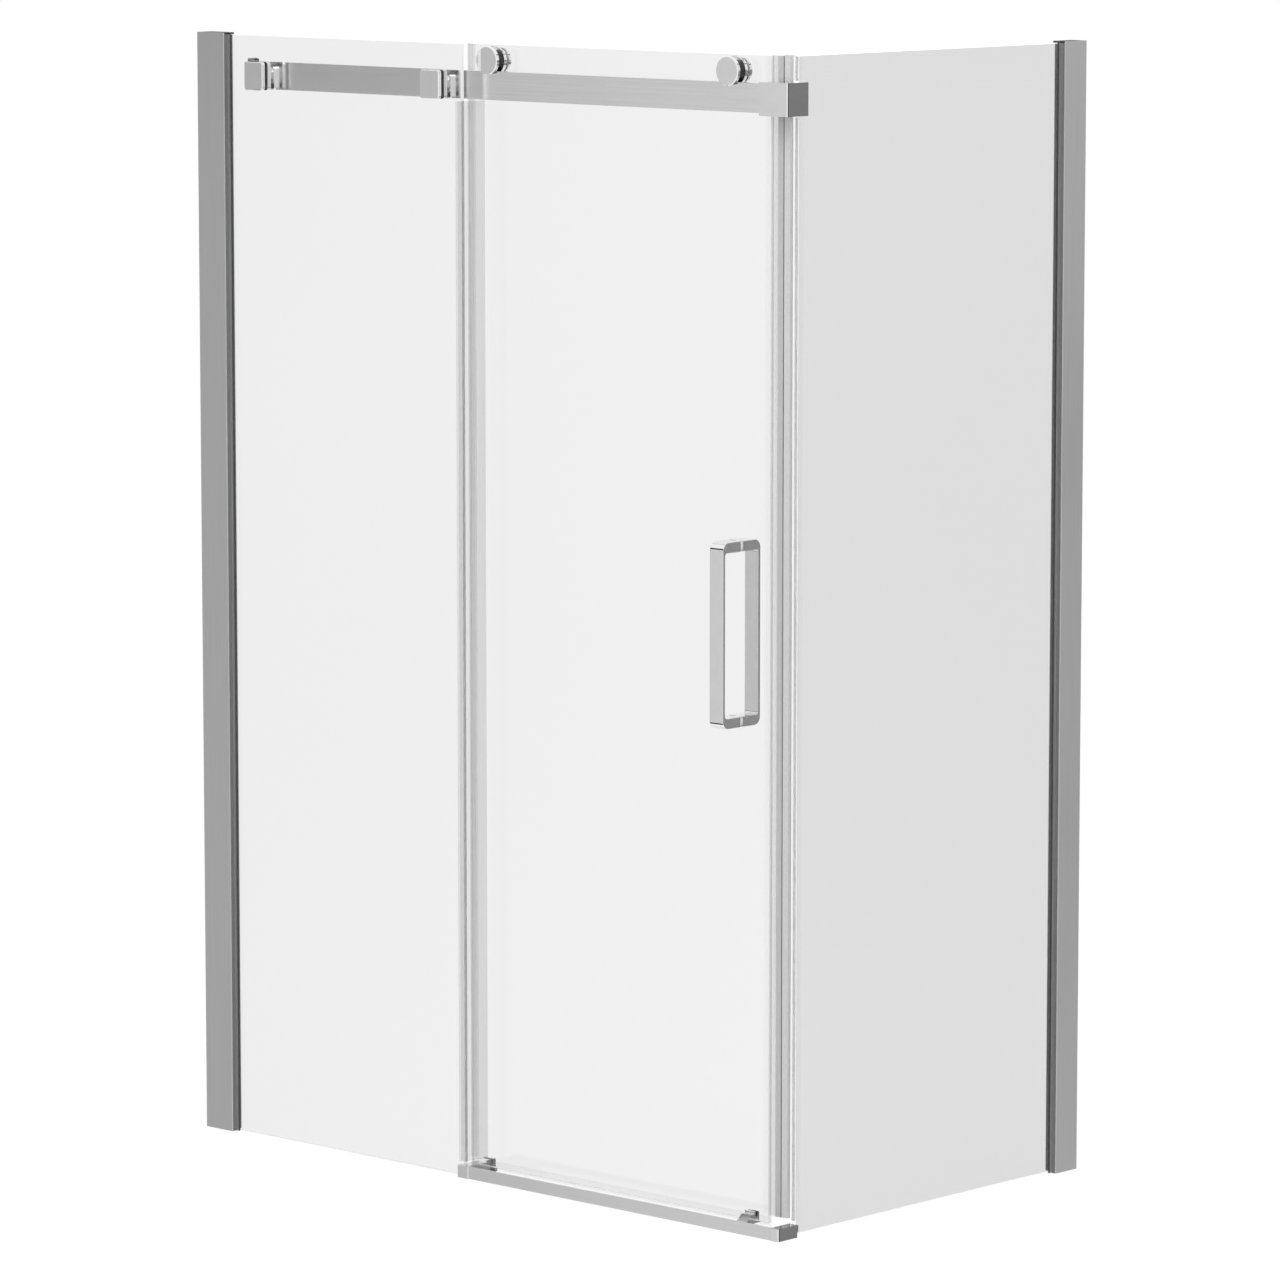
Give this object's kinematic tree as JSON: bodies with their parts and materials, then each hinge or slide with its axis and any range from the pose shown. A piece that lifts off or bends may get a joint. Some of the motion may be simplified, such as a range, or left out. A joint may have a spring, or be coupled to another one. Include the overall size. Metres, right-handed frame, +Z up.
{
  "type": "shower enclosure with sliding door",
  "caption": "Rectangular corner shower enclosure: fixed glass pane, glass return pane and a glass door that hangs on rollers from a flat rail and slides behind the fixed pane.",
  "frame": {"origin": "middle of the floor rectangle that the enclosure fills, on the floor", "axes": "+Z up, -Y towards the front with the door, -X towards the left wall, +Y towards the back wall"},
  "size_m": [1.4, 0.8, 2],
  "materials": {
    "satin_aluminium": "satin, polished edges",
    "polished_aluminium": "bright",
    "black_rubber": "matt",
    "clear_glass": "polished, clear",
    "brushed_rail": "fine brushed lengthwise",
    "dark_plastic": "matt",
    "tyre_plastic": "smooth running surface",
    "bearing_steel": "ground",
    "clear_plastic": "clear",
    "magnet_strip": "matt",
    "clear_seal": "translucent, soft",
    "chrome": "polished"
  },
  "bodies": {
    "enclosure": {"corner_block": "chrome", "corner_bolts": "chrome", "corner_clamp_plate": "chrome", "corner_gaskets": "black_rubber", "fixed_glass": "clear_glass", "fixed_guide": "chrome", "fixed_guide_pads": "clear_plastic", "fixed_seal": "clear_seal", "glazing_gaskets_left": "black_rubber", "glazing_gaskets_right": "black_rubber", "glazing_profile_left": "satin_aluminium", "glazing_profile_right": "satin_aluminium", "profile_cap_left": "black_rubber", "profile_cap_right": "black_rubber", "profile_screws_left": "chrome", "profile_screws_right": "chrome", "rail": "brushed_rail", "rail_clamp_bolts": "chrome", "rail_clamp_gaskets": "black_rubber", "rail_clamp_plate_a": "chrome", "rail_clamp_plate_b": "chrome", "rail_clamp_spacer_a": "chrome", "rail_clamp_spacer_b": "chrome", "rail_stop": "dark_plastic", "rail_stop_buffer": "black_rubber", "side_glass": "clear_glass", "side_magnet": "magnet_strip", "side_seal": "clear_seal", "threshold_end_left": "polished_aluminium", "threshold_end_right": "polished_aluminium", "threshold_profile": "polished_aluminium", "wall_profile_left": "satin_aluminium", "wall_profile_right": "satin_aluminium", "wiper_strips_left": "black_rubber", "wiper_strips_right": "black_rubber"},
    "door": {"door_bottom_seal": "clear_seal", "door_glass": "clear_glass", "door_guide_body": "chrome", "door_guide_hook": "chrome", "door_magnet": "magnet_strip", "door_magnet_seal": "clear_seal", "door_trailing_seal": "clear_seal", "handle_bolts": "chrome", "handle_inner": "chrome", "handle_outer": "chrome", "handle_washers": "clear_plastic", "roller_axle_left": "chrome", "roller_axle_right": "chrome", "roller_bush_left": "clear_plastic", "roller_bush_right": "clear_plastic", "roller_inner_cap_left": "chrome", "roller_inner_cap_right": "chrome"},
    "roller_left": {"roller_bearing_left": "bearing_steel", "roller_cover_left": "chrome", "roller_tyre_left": "tyre_plastic", "roller_wheel_left": "chrome"},
    "roller_right": {"roller_bearing_right": "bearing_steel", "roller_cover_right": "chrome", "roller_tyre_right": "tyre_plastic", "roller_wheel_right": "chrome"}
  },
  "joints": [
    {"name": "door_slide", "type": "slide", "parent": "enclosure", "child": "door", "axis": [-1, 0, 0], "range_m": [0, 0.567]},
    {"name": "roller_left_spin", "type": "hinge", "parent": "door", "child": "roller_left", "pos_m": [-0.0155, -0.348, 1.968], "axis": [0, -1, 0], "range_deg": [0, 1900]},
    {"name": "roller_right_spin", "type": "hinge", "parent": "door", "child": "roller_right", "pos_m": [0.5445, -0.348, 1.968], "axis": [0, -1, 0], "range_deg": [0, 1900]}
  ],
  "couplings": [
    {"joint": "roller_left_spin", "follows": "door_slide", "rad_per_m": 56.497},
    {"joint": "roller_right_spin", "follows": "door_slide", "rad_per_m": 56.497}
  ]
}
